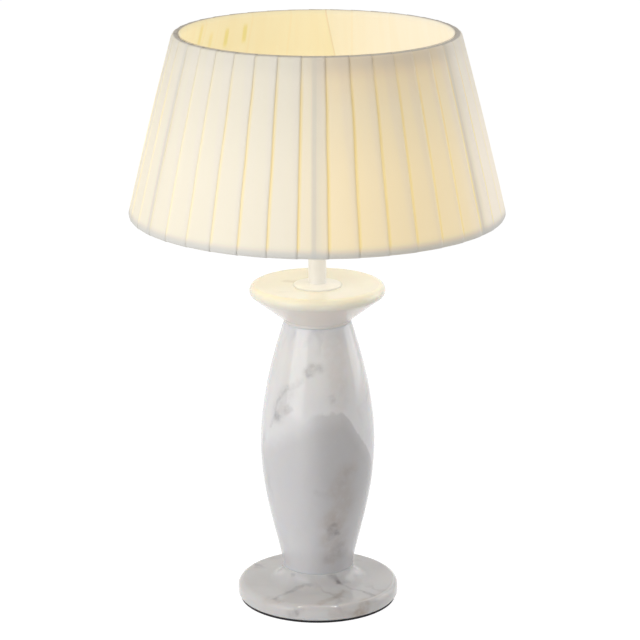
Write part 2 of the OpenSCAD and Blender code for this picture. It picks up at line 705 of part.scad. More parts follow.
module led_board() color([0.9, 0.9, 0.88]) union() {
    translate([0, 0, dome_z - board_t]) cylinder(r = board_r, h = board_t, $fn = turn_fn);
    for (i = [0:chip_count - 1]) rotate([0, 0, i * 360 / chip_count])
        translate([board_r * 0.7, -chip_w / 2, dome_z - slip])
            cube([chip_w, chip_w, chip_t + slip]);
}

module bulb_dome() color(opal) difference() {
    translate([0, 0, dome_centre_z]) rotate_extrude($fn = turn_fn) difference() {
        circle(r = bulb_r, $fn = turn_fn);
        circle(r = bulb_r - dome_wall, $fn = turn_fn);
        translate([-bulb_d, -bulb_d]) square([bulb_d, 2 * bulb_d]);
        translate([0, dome_z - dome_centre_z - bulb_d]) square([bulb_d, bulb_d]);
    }
}

base_pad();
marble_foot();
cord_bush();
base_washer();
lock_washer();
base_nut();
tie_rod();
centring_bushes();
marble_body();
marble_dish();
top_washer();
top_nut();
stem_flange();
stem_tube();
holder_cap();
holder_lock_screw();
holder_barrel();
holder_insert();
screw_shell();
centre_contact();
terminal_screws();
fitter_ring();
fitter_arms();
bottom_ring();
top_ring();
frame_struts();
bottom_tape();
top_tape();
shade_lining();
shade_ribbons();
ring_washer();
shade_ring();
bulb_tip();
bulb_insulator();
bulb_cap();
bulb_housing();
led_board();
bulb_dome();
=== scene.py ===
# The marble table lamp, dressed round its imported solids.
# Metres, +Z up, the front is -Y, and the lamp stands at the origin.
import math

import bpy
import numpy as np
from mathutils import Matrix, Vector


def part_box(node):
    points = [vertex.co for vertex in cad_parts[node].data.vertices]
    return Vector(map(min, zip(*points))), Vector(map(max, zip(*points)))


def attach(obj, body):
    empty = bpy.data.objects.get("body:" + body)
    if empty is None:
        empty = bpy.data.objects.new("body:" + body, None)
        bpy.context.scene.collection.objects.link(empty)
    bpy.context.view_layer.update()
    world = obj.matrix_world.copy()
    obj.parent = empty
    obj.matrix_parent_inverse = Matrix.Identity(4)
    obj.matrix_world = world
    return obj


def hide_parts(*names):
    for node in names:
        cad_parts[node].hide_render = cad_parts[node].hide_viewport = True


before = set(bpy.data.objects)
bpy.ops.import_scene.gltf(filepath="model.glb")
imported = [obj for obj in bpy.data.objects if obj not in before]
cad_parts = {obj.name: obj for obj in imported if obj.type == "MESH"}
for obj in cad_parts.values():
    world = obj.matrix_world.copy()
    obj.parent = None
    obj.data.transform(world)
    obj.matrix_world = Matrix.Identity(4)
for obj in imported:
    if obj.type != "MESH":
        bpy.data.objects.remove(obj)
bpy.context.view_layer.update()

# Camera: in front of the lamp and above it, as in the photograph. Its lens, tilt and place were
# worked out from the outlines of the foot, the dish and the shade's two rims.
eye = (0.0024, -2.3618, 0.945)
look_down, roll = math.radians(15.838), -0.002
camera = bpy.data.objects.new("camera", bpy.data.cameras.new("camera"))
camera.data.lens, camera.data.sensor_width = 147.0, 36.0
camera.location = eye
camera.rotation_mode = "ZYX"
camera.rotation_euler = (math.pi / 2 - look_down, 0, roll)
bpy.context.scene.collection.objects.link(camera)
bpy.context.scene.camera = camera
bpy.context.scene.view_settings.view_transform = "Standard"

# Studio: a white sweep under a soft white sky, a soft box at the front left, which makes the wide
# sheen on the stone, one at the right, which makes the thin sheen there, and one above the foot.


class Wire:
    """A socket in a node tree. An expression on wires adds its Math nodes."""

    def __init__(self, tree, socket=None):
        self.tree, self.socket = tree, socket

    def node(self, kind, settings=None, sockets=None, out=0):
        """Adds a node: its settings first, then the values or the links of its sockets."""
        made = self.tree.nodes.new("ShaderNode" + kind)
        for key, value in (settings or {}).items():
            setattr(made, key, value)
        for key, value in (sockets or {}).items():
            if isinstance(value, Wire):
                self.tree.links.new(value.socket, made.inputs[key])
            else:
                made.inputs[key].default_value = value
        return Wire(self.tree, made.outputs[out])

    def maths(self, operation, *values):
        return self.node("Math", {"operation": operation}, dict(enumerate(values)))

    def vector(self, operation, *values, out=0):
        return self.node("VectorMath", {"operation": operation}, dict(enumerate(values)), out)

    def __add__(self, other):
        return self.maths("ADD", self, other)

    def __sub__(self, other):
        return self.maths("SUBTRACT", self, other)

    def __rsub__(self, other):
        return self.maths("SUBTRACT", other, self)

    def __mul__(self, other):
        return self.maths("MULTIPLY", self, other)

    def __truediv__(self, other):
        return self.maths("DIVIDE", self, other)

    def __rtruediv__(self, other):
        return self.maths("DIVIDE", other, self)

    __radd__, __rmul__ = __add__, __mul__

    def rise(self, low, high):
        """0 where this wire is at low, 1 where it is at high, with soft ends; high may be less."""
        return self.node("MapRange", {"interpolation_type": "SMOOTHSTEP"},
                         {0: self, 1: low, 2: high})

    def near_zero(self, outer, inner):
        """1 where this wire is within inner of 0 on either side, and 0 from outer on."""
        return self.maths("ABSOLUTE", self).rise(outer, inner)

    def axis(self, name):
        return self.node("SeparateXYZ", {}, {0: self}, name)

    def tint(self, share, under, over):
        """The colour under, with that share of the colour over."""
        return self.node("Mix", {"data_type": "RGBA"}, {0: share, 6: under, 7: over}, 2)

    def noise(self, place, scale, detail=2.0, roughness=0.5, out=0):
        return self.node("TexNoise", {}, {"Vector": place, "Scale": scale, "Detail": detail,
                                          "Roughness": roughness}, out)


def rgb(red, green, blue):
    return (red, green, blue, 1.0)


# The white of the surroundings: in front of the lamp, behind it, and in front as mirrored.
sky_front, sky_back, mirrored_front = 0.355, 0.44, 0.40
world = bpy.data.worlds.new("studio")
world.use_nodes = True
bpy.context.scene.world = world
ground = Wire(world.node_tree)


def ray(wire, *kinds):
    """1 for the named kinds of rays."""
    found = wire.node("LightPath", {}, {}, f"Is {kinds[0]} Ray")
    for kind in kinds[1:]:
        found = found.maths("MAXIMUM", found, wire.node("LightPath", {}, {}, f"Is {kind} Ray"))
    return found


# The white sweep stands behind the lamp, and the room in front of it is dimmer.
behind = ground.node("TexCoord", out="Generated").axis("Y").rise(-0.05, 0.2)
level = behind * (sky_back - sky_front) + sky_front
mirrored = behind * (1 - mirrored_front) + mirrored_front
level = level + (mirrored - level) * ray(ground, "Glossy", "Transmission")
level = level + (1 - level) * ray(ground, "Camera")
backdrop = world.node_tree.nodes["Background"]
world.node_tree.links.new(level.socket, backdrop.inputs["Strength"])
backdrop.inputs["Color"].default_value = rgb(1, 1, 1)

floor_mesh = bpy.data.meshes.new("floor")
half_floor, floor_z = 16.0, -0.0002
floor_bounce, floor_shown, floor_light = (rgb(v, v, v) for v in (0.9, 0.3, 0.9))
floor_mesh.from_pydata([(x * half_floor, y * half_floor, floor_z)
                        for x, y in ((-1, -1), (1, -1), (1, 1), (-1, 1))], [], [(0, 1, 2, 3)])
floor = bpy.data.objects.new("floor", floor_mesh)
bpy.context.scene.collection.objects.link(floor)
sweep = bpy.data.materials.new("sweep")
sweep.use_nodes = True
ground = Wire(sweep.node_tree)
shown_floor = ground.node("AddShader", {}, {
    0: ground.node("BsdfDiffuse", {}, {"Color": floor_shown}),
    1: ground.node("Emission", {}, {"Color": floor_light, "Strength": 1.0})})
bounce = ground.node("BsdfDiffuse", {}, {"Color": floor_bounce})
seen = ray(ground, "Camera", "Glossy", "Transmission")
sweep.node_tree.links.new(
    ground.node("MixShader", {}, {0: seen, 1: bounce, 2: shown_floor}).socket,
    sweep.node_tree.nodes["Material Output"].inputs["Surface"])
floor_mesh.materials.append(sweep)


def soft_box(name, azimuth, height, away, size, radiance, aim):
    """A light with a flat white front: its turn in degrees from the camera's side to the right, its
    height and distance, its width and height, how bright it is, and the height that it aims at."""
    light = bpy.data.lights.new(name, "AREA")
    light.shape, (light.size, light.size_y) = "RECTANGLE", size
    light.energy = radiance * math.pi * size[0] * size[1]
    holder = bpy.data.objects.new(name, light)
    turn = math.radians(azimuth)
    holder.location = (away * math.sin(turn), -away * math.cos(turn), height)
    holder.rotation_euler = (math.pi / 2 - math.atan2(height - aim, away), 0, turn)
    bpy.context.scene.collection.objects.link(holder)


soft_box("soft_box_left", -50, 0.75, 2.0, (1.55, 1.4), 2.12, 0.4)
soft_box("soft_box_right", 112, 0.7, 2.0, (1.3, 1.3), 1.5, 0.4)
soft_box("soft_box_above", 0, 2.1, 0.5, (1.3, 0.12), 10.0, 0.1)

# Pad: one disc of dark foam rubber, punched out and glued under the foot. Its open cells show
# as fine pits, and dust has settled on its cut edge.


def finish(name, constants):
    """A new material, the wire that its nodes grow from, and a way to feed its shader."""
    material = bpy.data.materials.new(name)
    material.use_nodes = True
    shader = material.node_tree.nodes["Principled BSDF"]
    for key, value in constants.items():
        shader.inputs[key].default_value = value

    def feed(key, wire):
        material.node_tree.links.new(wire.socket, shader.inputs[key])

    return material, Wire(material.node_tree), feed


def relief(wire, height, depth):
    """A normal for a surface that rises by depth metres where height is 1."""
    return wire.node("Bump", {}, {"Strength": 1.0, "Distance": depth, "Height": height}, "Normal")


def wear(material, *names):
    """Gives a finish to the pieces that keep the shape of their solids."""
    for name in names:
        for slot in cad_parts[name].material_slots:
            slot.material = material


foam, start, feed = finish("foam", {"Roughness": 0.92, "Specular IOR Level": 0.3})
place = start.node("TexCoord", out="Object")
cells = start.node("TexVoronoi", {}, {"Vector": place, "Scale": 900.0})
dust = start.noise(place, 160.0, 3.0)
feed("Base Color", start.tint(dust.rise(0.35, 0.75), rgb(0.030, 0.027, 0.032),
                              rgb(0.065, 0.058, 0.070)))
feed("Normal", relief(start, cells, 0.0003))
wear(foam, "base_pad")

# Stones: foot, body and dish, turned on a lathe from one block of white marble and polished.
# Soft grey and brown veins run through the block. Those that show at the front are drawn where
# they are on the real stones; round the sides and the back they follow the same grain.
# The white of the painted light in the joints and of the painted highlight on the foot's edge.
painted_light_white = rgb(0.97, 0.96, 0.95)
vein_violet, vein_brown = rgb(0.17, 0.15, 0.17), rgb(0.40, 0.29, 0.20)
bend_broad, bend_fine, dimple = 0.012, 0.005, 0.00005
# The stone is dull near a joint and painted lighter there against the shade in its groove;
# a painted highlight whitens a rounded edge near this turn of its section.
joint_to, joint_within = 0.0008, 0.0005
highlight_turn, highlight_to, highlight_within = 1.05, 0.20, 0.05


def trace(place, points, inner, outer):
    """1 within inner millimetres of the line through points, and 0 at outer millimetres from it."""
    nearest = None
    for a, b in zip(points, points[1:] or points):
        a, b = ([v / 1000 for v in end] for end in (a, b))
        run = [q - p for p, q in zip(a, b)]
        reach = sum(v * v for v in run) or 1.0
        off = place.vector("SUBTRACT", place, a)
        along = off.vector("DOT_PRODUCT", off, run, out="Value") / reach
        along = along.maths("MINIMUM", along.maths("MAXIMUM", along, 0.0), 1.0)
        level_with = off.node("VectorMath", {"operation": "SCALE"}, {0: run, "Scale": along})
        away = off.vector("DISTANCE", off, level_with, out="Value")
        nearest = away if nearest is None else away.maths("MINIMUM", away, nearest)
    return nearest.rise(outer / 1000, inner / 1000)


def marble(name, white, grey, violet, brown, fold_and_tint_colour, joints, tint_area=None, edge=None):
    """One stone's finish. white and grey are its ground, and fold_and_tint_colour is the colour of
    its folds and of the area that tint_area marks. violet and brown list its veins: the points of
    each in millimetres, its inner and outer half widths and its strength. The stone is dull at the
    heights in joints, where the grinder did not reach, and painted lighter there against the shade
    in the groove. edge is the radius and the height that a rounded edge turns about; a painted
    highlight whitens it near one turn of its section."""
    material, start, feed = finish(name, {
        "Specular IOR Level": 0.5, "Subsurface Weight": 0.5, "Subsurface Scale": 0.006,
        "Subsurface Radius": (1.0, 0.7, 0.5)})
    place = start.node("TexCoord", out="Object")
    # The places are bent broadly and then finely, so that no vein runs straight.
    bent = place
    for scale, bend in ((26.0, bend_broad), (150.0, bend_fine)):
        swirl = start.noise(place, scale, 3.0, 0.6, out="Color")
        swirl = start.vector("SUBTRACT", swirl, (0.5, 0.5, 0.5))
        bent = start.vector("MULTIPLY_ADD", swirl, (bend, bend, bend), bent)
    leaning = start.node("Mapping", {}, {"Vector": bent, "Rotation": (0.5, -0.65, 0.4),
                                         "Scale": (1.0, 1.0, 0.45)})
    haze = start.noise(leaning, 15.0, 5.0, 0.55).rise(0.40, 0.75)
    colour = start.tint(haze * 0.55, rgb(*white), rgb(*grey))
    ridge = (start.noise(leaning, 21.0, 3.0, 0.5) - 0.5).near_zero(0.045, 0.0)
    patch = start.noise(place, 13.0, 2.0).rise(0.50, 0.70)
    off_front = place.axis("Y").rise(-0.02, 0.03)
    colour = start.tint(ridge * patch * (off_front * 0.30 + 0.20), colour, vein_violet)
    folds = start.noise(leaning, 9.0, 4.0, 0.6).rise(0.52, 0.66)
    colour = start.tint(folds * off_front * 0.30, colour, rgb(*fold_and_tint_colour))
    # For the dish this tint is painted lamp light on its underside.
    if tint_area:
        colour = start.tint(tint_area(start, place, bent), colour, rgb(*fold_and_tint_colour))
    broken = start.noise(place, 130.0, 3.0, 0.65).rise(0.25, 0.65) * 0.6 + 0.4
    for veins, ink in ((brown, vein_brown), (violet, vein_violet)):
        for points, inner, outer, strength in veins:
            near = trace(bent, points, inner, outer)
            colour = start.tint((near * near * 0.6 + near * 0.4) * broken * strength, colour, ink)
    grain = start.noise(place, 190.0, 3.0, 0.6)
    colour = start.tint(grain.rise(0.55, 0.8) * 0.05, colour, rgb(0.95, 0.95, 0.95))
    dull_and_lightened = None
    for joint_z in joints:
        near = (place.axis("Z") - joint_z).near_zero(joint_to, joint_within)
        dull_and_lightened = near if dull_and_lightened is None else dull_and_lightened.maths("MAXIMUM", dull_and_lightened, near)
    # Painted light: the joints are whitened against the shade in their groove.
    colour = start.tint(dull_and_lightened * 0.4, colour, painted_light_white)
    # Painted highlight: a patchy whiter line all round the rounded edge.
    if edge:
        x, y, z = (place.axis(a) for a in "XYZ")
        past_edge = start.maths("SQRT", x * x + y * y) - edge[0]
        painted_highlight = start.maths("ARCTAN2", z - edge[1], past_edge) - highlight_turn
        painted_highlight = painted_highlight.near_zero(highlight_to, highlight_within)
        patchy = start.noise(place, 22.0).rise(0.42, 0.64)
        colour = start.tint(painted_highlight * patchy * 0.5, colour, painted_light_white)
    feed("Base Color", colour)
    feed("Roughness", 0.07 + grain * 0.06 + dull_and_lightened * 0.8)
    feed("Normal", relief(start, start.noise(place, 60.0, 2.0), dimple))
    return material


def arch(start, place, bent):
    """The darker part of the body. Its edge runs level at the front and falls to both sides: soft
    and faint at the left, steeper and sharp at the right."""
    level, corner, low_down = 0.1985, 0.006, 0.65
    turn = start.maths("ARCTAN2", place.axis("X"), 0 - place.axis("Y"))
    left, right = turn * 0.0300 + 0.1990, turn * -0.0760 + 0.2350
    edge = start.maths("SMOOTH_MIN", left, level, corner)
    edge = start.maths("SMOOTH_MIN", edge, right, corner)
    below = edge - bent.axis("Z")
    sharp, faint = below.rise(-0.0015, 0.0025), below.rise(-0.004, 0.020)
    to_right = turn.rise(-0.35, 0.25)
    depth = faint * 0.30 * (1 - to_right) + (sharp * 0.62 + faint * 0.38) * 0.64 * to_right
    depth = depth * (place.axis("Z").rise(0.04, 0.14) * (1 - low_down) + low_down)
    return depth * turn.near_zero(1.9, 1.3)


# The veins of each stone: points on its face in millimetres, half widths, and strength.
body_violet = [
    ([(1, -41, 242), (-4, -42, 240), (-9, -42, 236)], 1.5, 8, 0.30),
    ([(-15, -42, 229), (-21, -41, 224), (-27, -38, 220)], 1, 6, 0.12),
    ([(-27, -38, 220), (-29, -37, 217), (-33, -36, 211), (-37, -34, 203), (-42, -31, 187),
      (-45, -28, 180)], 0.5, 3.5, 0.17),
    ([(-29, -37, 217)], 1, 4, 0.20), ([(-28, -42, 199), (-25, -43, 202)], 1.5, 6, 0.22),
    ([(-38, -35, 191)], 2, 7, 0.32), ([(-29, -40, 214), (-37, -35, 195)], 4, 15, 0.16),
    ([(14, -46, 211)], 1, 6, 0.16), ([(15, -42, 85), (13, -42, 82), (18, -39, 78)], 2, 8, 0.34),
    ([(18, -39, 78), (10, -41, 71)], 0.5, 5, 0.26), ([(19, -34, 60), (23, -29, 52)], 3, 11, 0.11),
    ([(11, -34, 49), (19, -34, 60)], 2, 9, 0.10), ([(27, -46, 138), (24, -47, 130)], 1, 8, 0.08),
    ([(-1, -52, 121), (8, -50, 118)], 0.5, 6, 0.10),
]
body_brown = [
    ([(17, -32, 262), (17, -40, 233), (21, -44, 210)], 5, 17, 0.13),
    ([(27, -46, 138), (21, -48, 122), (27, -43, 114), (20, -43, 92)], 5, 19, 0.24),
    ([(10, -46, 93), (20, -38, 76), (10, -41, 71)], 5, 15, 0.20),
    ([(19, -34, 60), (12, -35, 52)], 4, 16, 0.20),
]
foot_violet = [
    ([(-41, -57, 17), (-38, -49, 17), (-29, -40, 17), (-22, -36, 18), (-14, -35, 22),
      (-6, -37, 23)], 0.6, 3.6, 0.26),
    ([(-41, -57, 17), (-36, -61, 17)], 1, 5, 0.24), ([(-24, -25, 28)], 0.8, 4, 0.36),
    ([(12, -32, 32), (16, -31, 29), (20, -31, 24)], 1, 5, 0.34), ([(20, -31, 24)], 1, 4, 0.2),
    ([(20, -31, 24), (31, -23, 21)], 0.5, 4, 0.22),
    ([(20, -31, 24), (38, -33, 17), (47, -40, 17)], 0.5, 3.5, 0.22),
    ([(47, -40, 17), (53, -49, 17)], 1, 5, 0.42), ([(-15, -75, 13), (-22, -73, 10)], 0.6, 5, 0.22),
    ([(-22, -73, 10), (-28, -71, 8)], 1, 6, 0.24), ([(25, -40, 17), (17, -55, 17)], 0.5, 4, 0.16),
]
foot_brown = [
    ([(25, -40, 17), (17, -55, 17), (8, -63, 17), (2, -70, 16)], 1, 7, 0.26),
    ([(-48, -54, 17), (-38, -58, 17)], 2, 9, 0.2), ([(46, -61, 13), (40, -66, 7)], 3, 10, 0.34),
    ([(40, -66, 7), (33, -69, 6)], 2, 8, 0.3), ([(16, -75, 8), (26, -72, 8)], 2, 9, 0.2),
]
dish_brown = [
    ([(-30, 14, 310), (-12, 16, 309), (0, 20, 309)], 1, 8, 0.28),
    ([(-50, -30, 304), (-38, -44, 303)], 1, 8, 0.14),
]
body_low, body_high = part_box("marble_body")
body_foot, body_top = body_low.z, body_high.z
foot_edge, dish_rim_z = (0.0702, 0.0105), body_top + 0.028


def lamp_glow_underside(start, place, bent):
    """The dish's underside, painted a paler, pinker tint that stands in for the lamp's warm light
    glowing through the stone.
    """
    return place.axis("Z").rise(dish_rim_z, dish_rim_z - 0.008)


wear(marble("marble_of_body", (0.87, 0.865, 0.888), (0.75, 0.74, 0.768), body_violet, body_brown,
            (0.45, 0.435, 0.44), (body_foot, body_top), tint_area=arch), "marble_body")
wear(marble("marble_of_foot", (0.76, 0.745, 0.745), (0.62, 0.60, 0.60), foot_violet, foot_brown,
            (0.7, 0.7, 0.7), (body_foot,), edge=foot_edge), "marble_foot")
wear(marble("marble_of_dish", (0.88, 0.855, 0.77), (0.80, 0.765, 0.67), [], dish_brown,
            (0.89, 0.82, 0.765), (body_top,), tint_area=lamp_glow_underside), "marble_dish")

# Stem and flange: a drawn steel tube round the tie rod, and a spun steel cover over the nut that
# clamps the stones. Both are sprayed with a warm white lacquer.


def lacquer(name, colour, roughness):
    """Sprayed lacquer: even in colour, with the fine orange peel of the spray."""
    material, start, feed = finish(name, {"Coat Roughness": 0.2, "Specular IOR Level": 0.5})
    place = start.node("TexCoord", out="Object")
    cloudy = start.noise(place, 45.0, 3.0)
    deeper = rgb(*(v * 0.93 for v in colour))
    feed("Base Color", start.tint(cloudy.rise(0.3, 0.75), rgb(*colour), deeper))
    feed("Roughness", roughness - 0.04 + cloudy * 0.08)
    feed("Normal", relief(start, start.noise(place, 700.0, 2.0), 0.00003))
    return material


wear(lacquer("ivory_lacquer", (0.89, 0.89, 0.92), 0.3), "stem_flange", "stem_tube")

# Tie rod with its nuts, washers and lock washer: zinc-plated steel and plain brass, turned or
# stamped. Tool marks run round them.


def metal(name, colour, dull, roughness):
    """Plated or plain metal with turned marks and a cloudy bloom."""
    material, start, feed = finish(name, {"Metallic": 1.0})
    place = start.node("TexCoord", out="Object")
    bloom = start.noise(place, 110.0, 4.0, 0.6).rise(0.35, 0.7)
    marks = start.noise(start.node("Mapping", {}, {"Vector": place, "Scale": (60.0, 60.0, 3000.0)}),
                        1.0, 2.0)
    feed("Base Color", start.tint(bloom, rgb(*colour), rgb(*dull)))
    feed("Roughness", roughness + bloom * 0.15)
    feed("Normal", relief(start, marks, 0.00002))
    return material


wear(metal("zinc_plate", (0.62, 0.63, 0.65), (0.48, 0.49, 0.51), 0.28),
     "base_washer", "lock_washer", "tie_rod", "top_washer", "holder_lock_screw", "bulb_tip")
wear(metal("plain_brass", (0.80, 0.60, 0.27), (0.62, 0.44, 0.20), 0.25),
     "base_nut", "top_nut", "screw_shell", "centre_contact", "terminal_screws")

# Moulded pieces: the bushes round the rod, the cord's bush at the foot's back, and the lampholder
# with its shade ring and washer, all of satin thermoplastic. The insert is fired porcelain.


def moulded(name, colour, roughness, peel):
    """Moulded plastic or fired clay: a faint flow in the colour and a fine grain from the mould."""
    material, start, feed = finish(name, {"Specular IOR Level": 0.5})
    place = start.node("TexCoord", out="Object")
    flow = start.noise(place, 70.0, 3.0, 0.6).rise(0.3, 0.7)
    feed("Base Color", start.tint(flow, rgb(*colour), rgb(*(v * 0.9 for v in colour))))
    feed("Roughness", roughness + flow * 0.08)
    feed("Normal", relief(start, start.noise(place, 1300.0, 2.0), peel))
    return material


wear(moulded("white_plastic", (0.82, 0.80, 0.76), 0.42, 0.00002),
     "centring_bushes", "holder_cap", "holder_barrel", "ring_washer", "shade_ring")
wear(moulded("black_plastic", (0.022, 0.021, 0.022), 0.5, 0.00002), "cord_bush")
wear(moulded("porcelain", (0.87, 0.85, 0.80), 0.55, 0.00004), "holder_insert")

# Bulb: a warm white lamp. A nickel-plated shell round black glass, a white housing that cools the
# chips on their board, and an opal dome that glows.
wear(metal("nickel_plate", (0.72, 0.70, 0.67), (0.60, 0.58, 0.55), 0.2), "bulb_cap")
wear(moulded("black_glass", (0.012, 0.012, 0.015), 0.12, 0.00001), "bulb_insulator")
wear(moulded("bulb_white", (0.86, 0.86, 0.84), 0.38, 0.00002), "bulb_housing")
wear(moulded("board_white", (0.88, 0.84, 0.62), 0.5, 0.00002), "led_board")
opal, start, feed = finish("opal", {"Roughness": 0.45, "Emission Strength": 1.0})
place = start.node("TexCoord", out="Object")
dome_foot, dome_lit = 0.455, 0.485
spread = place.axis("Z").rise(dome_foot, dome_lit)
feed("Base Color", start.tint(start.noise(place, 300.0), rgb(0.50, 0.47, 0.40),
                              rgb(0.46, 0.43, 0.37)))
feed("Emission Color", start.tint(spread, rgb(0.36, 0.27, 0.14), rgb(0.68, 0.56, 0.34)))
wear(opal, "bulb_dome")

# Shade frame: two rings, six upright wires, and the carrier with its three arms, all of steel wire,
# welded and sprayed white. Light from the bulb falls on them.
wear(lacquer("frame_white", (0.84, 0.80, 0.72), 0.4), "fitter_ring", "fitter_arms", "bottom_ring",
     "top_ring", "frame_struts")

# Tape: a 12 mm cotton tape wound edge over edge round each ring, over which the cloth is sewn.
# It is one long strip, and the windings climb over each other by a quarter of its width.
wire_r, tape_w, tape_ply = 0.0018, 0.012, 0.00012
tape_below, tape_above = 0.0004, 0.0017


def cloth(name, grids, thickness, material, around=False):
    """Sheets of cloth from grids of points, whose rows run up and whose columns run to the right as
    seen from the side that shows. They are thickened away from that side."""
    points, faces = [], []
    for grid in grids:
        rows, columns = grid.shape[:2]
        base = len(points)
        points += grid.reshape(-1, 3).tolist()
        across = columns if around else columns - 1
        faces += [(base + i * columns + j, base + i * columns + (j + 1) % columns,
                   base + (i + 1) * columns + (j + 1) % columns, base + (i + 1) * columns + j)
                  for i in range(rows - 1) for j in range(across)]
    mesh = bpy.data.meshes.new(name)
    mesh.from_pydata(points, [], faces)
    mesh.polygons.foreach_set("use_smooth", [True] * len(faces))
    mesh.materials.append(material)
    piece = bpy.data.objects.new(name, mesh)
    bpy.context.scene.collection.objects.link(piece)
    skin = piece.modifiers.new("thickness", "SOLIDIFY")
    skin.thickness, skin.offset = thickness, -1.0
    return piece


def ring_middle(name):
    """The middle of a wire ring of the frame: its radius and its height."""
    low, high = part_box(name)
    return high.x - wire_r, (low.z + high.z) / 2


def wound_tape(name, node, ring, build_up):
    """One strip of the tape, wound round a ring from its wire outwards to build_up."""
    radius, height = ring_middle(ring)
    advance = tape_w * 0.75
    turns = round(2 * math.pi * radius / advance)
    steps, lanes = 18, 4
    turn = np.linspace(0, 2 * math.pi * turns, turns * steps + 1)[:, None]
    lane = np.linspace(0, 1, lanes)[None, :]
    around = turn / turns + lane * tape_w / radius
    lift = wire_r + build_up * (0.45 + 0.5 * lane)
    out = radius + lift * np.cos(turn)
    grid = np.stack([out * np.cos(around), out * np.sin(around), height + lift * np.sin(turn)], -1)
    tape = cloth(name, [grid], tape_ply, tape_cotton)
    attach(tape, "shade")
    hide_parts(node)


tape_cotton, start, feed = finish("tape_cotton", {"Roughness": 0.9, "Sheen Weight": 0.3})
place = start.node("TexCoord", out="Object")
threads = start.node("Mapping", {}, {"Vector": place, "Scale": (1.0, 1.0, 2.2)})
threads = start.noise(threads, 1500.0)
feed("Base Color", start.tint(threads, rgb(0.86, 0.80, 0.66), rgb(0.78, 0.71, 0.56)))
feed("Normal", relief(start, threads, 0.00008))
wound_tape("wound_tape_below", "bottom_tape", "bottom_ring", tape_below)
wound_tape("wound_tape_above", "top_tape", "top_ring", tape_above)

# Lining: one cone of fine white cloth inside the wires, lapped and stitched at the back, with a
# slit for each arm. It is turned over the upper ring, so that it hides the ends of the ribbons.
# The glow of the lit bulb through it is painted in as emission, most from its middle down.
ring_r, ring_z = ring_middle("bottom_ring")
crown_r, crown_z = ring_middle("top_ring")
wall = np.array([crown_r - ring_r, crown_z - ring_z])
wall_l = float(np.hypot(*wall))
up = wall / wall_l
out = np.array([up[1], -up[0]])
wall_turn = math.atan2(out[1], out[0])
# The ribbons are sewn on later, but their edges are painted as faint lines in its glow.
ribbon_count, ribbon_w = 40, 0.0315
first_edge, pitch_turn = math.radians(3.4), 2 * math.pi / ribbon_count
# The face that shows lies this far inside the middle of the lower and of the upper ring.
lining_low, lining_high, lining_ply = 0.0037, 0.0051, 0.0004
turned_under, turned_over = math.radians(232), math.radians(124)
lining_rows, lining_columns = 28, 360
seam_turn, seam_lean, seam_high, seam_narrow = math.radians(85.8), -0.22, 0.0005, 34
slack_waves, slack_high = (6, 12, 18, 31, 47), 0.00022
arm_turns = [math.radians(a) for a in (89, 209, 329)]
arm_z, slit_w, slit_h = 0.3991, 0.0045, 0.0042
# Each painted crease shade: its way round in degrees, its lower and upper end, and its strength.
lining_crease_shades = [(-120.4, 0.524, 0.544, 0.8), (-128.6, 0.519, 0.534, 0.6),
                  (-137.9, 0.5175, 0.5355, 1.0), (-147.4, 0.5195, 0.5375, 1.0)]
rng = np.random.default_rng(11)


def round_ring(centre, r, start_turn, end_turn, count):
    """Points round a ring's wire in the (radius, height) plane, each with its way outwards."""
    turns = np.linspace(start_turn, end_turn, count)
    return [(centre[0] + r * math.cos(a), centre[1] + r * math.sin(a), math.cos(a), math.sin(a))
            for a in turns]


profile = [p + (0.0,) for p in round_ring((ring_r, ring_z), lining_low, turned_under,
                                          wall_turn + math.pi, 5)]
for share in np.linspace(0, 1, lining_rows)[1:-1]:
    inward = lining_low + (lining_high - lining_low) * share
    profile.append((ring_r + wall[0] * share - out[0] * inward,
                    ring_z + wall[1] * share - out[1] * inward, -out[0], -out[1], share))
profile += [p + (1.0,) for p in round_ring((crown_r, crown_z), lining_high, wall_turn + math.pi,
                                           turned_over, 7)]
profile = np.array(profile)
turn = -np.linspace(0, 2 * math.pi, lining_columns, endpoint=False)[None, :]
share = profile[:, 4][:, None]
slack = sum(rng.uniform(0.1, 0.5) * np.sin(turn * n + rng.uniform(0, 6.3))
            for n in slack_waves) * np.sin(np.pi * share) * slack_high
off_seam = (turn - seam_turn - seam_lean * (1 - share) + math.pi) % (2 * math.pi) - math.pi
rise = slack + seam_high * np.exp(-(off_seam * seam_narrow) ** 2) * (share > 0)
radius = profile[:, 0][:, None] + profile[:, 2][:, None] * rise
height = profile[:, 1][:, None] + profile[:, 3][:, None] * rise
lining_cloth, start, feed = finish("lining_cloth", {"Roughness": 0.85, "Emission Strength": 1.0})
grid = np.stack([radius * np.cos(turn), radius * np.sin(turn), height], -1)
lining = cloth("lining", [grid], lining_ply, lining_cloth, around=True)
kept = []
for face in lining.data.polygons:
    c = face.center
    at_arm = abs(c.z - arm_z) < slit_h and any(
        abs((math.atan2(c.y, c.x) - a + math.pi) % (2 * math.pi) - math.pi) * ring_r < slit_w
        for a in arm_turns)
    if not at_arm:
        kept.append(tuple(face.vertices))
points = [tuple(v.co) for v in lining.data.vertices]
lining.data.clear_geometry()
lining.data.from_pydata(points, [], kept)
lining.data.polygons.foreach_set("use_smooth", [True] * len(kept))


def round_shade(start):
    """A place on the shade: x, y and z, its turn from the front, its distance from the axis, its
    share of the wall's height, and the width there from one ribbon to the next."""
    place = start.node("TexCoord", out="Object")
    x, y, z = (place.axis(a) for a in "XYZ")
    round_r = start.maths("SQRT", x * x + y * y)
    height_share = (z - ring_z) / (crown_z - ring_z)
    return x, y, z, start.maths("ARCTAN2", x, 0 - y), round_r, height_share, round_r * pitch_turn


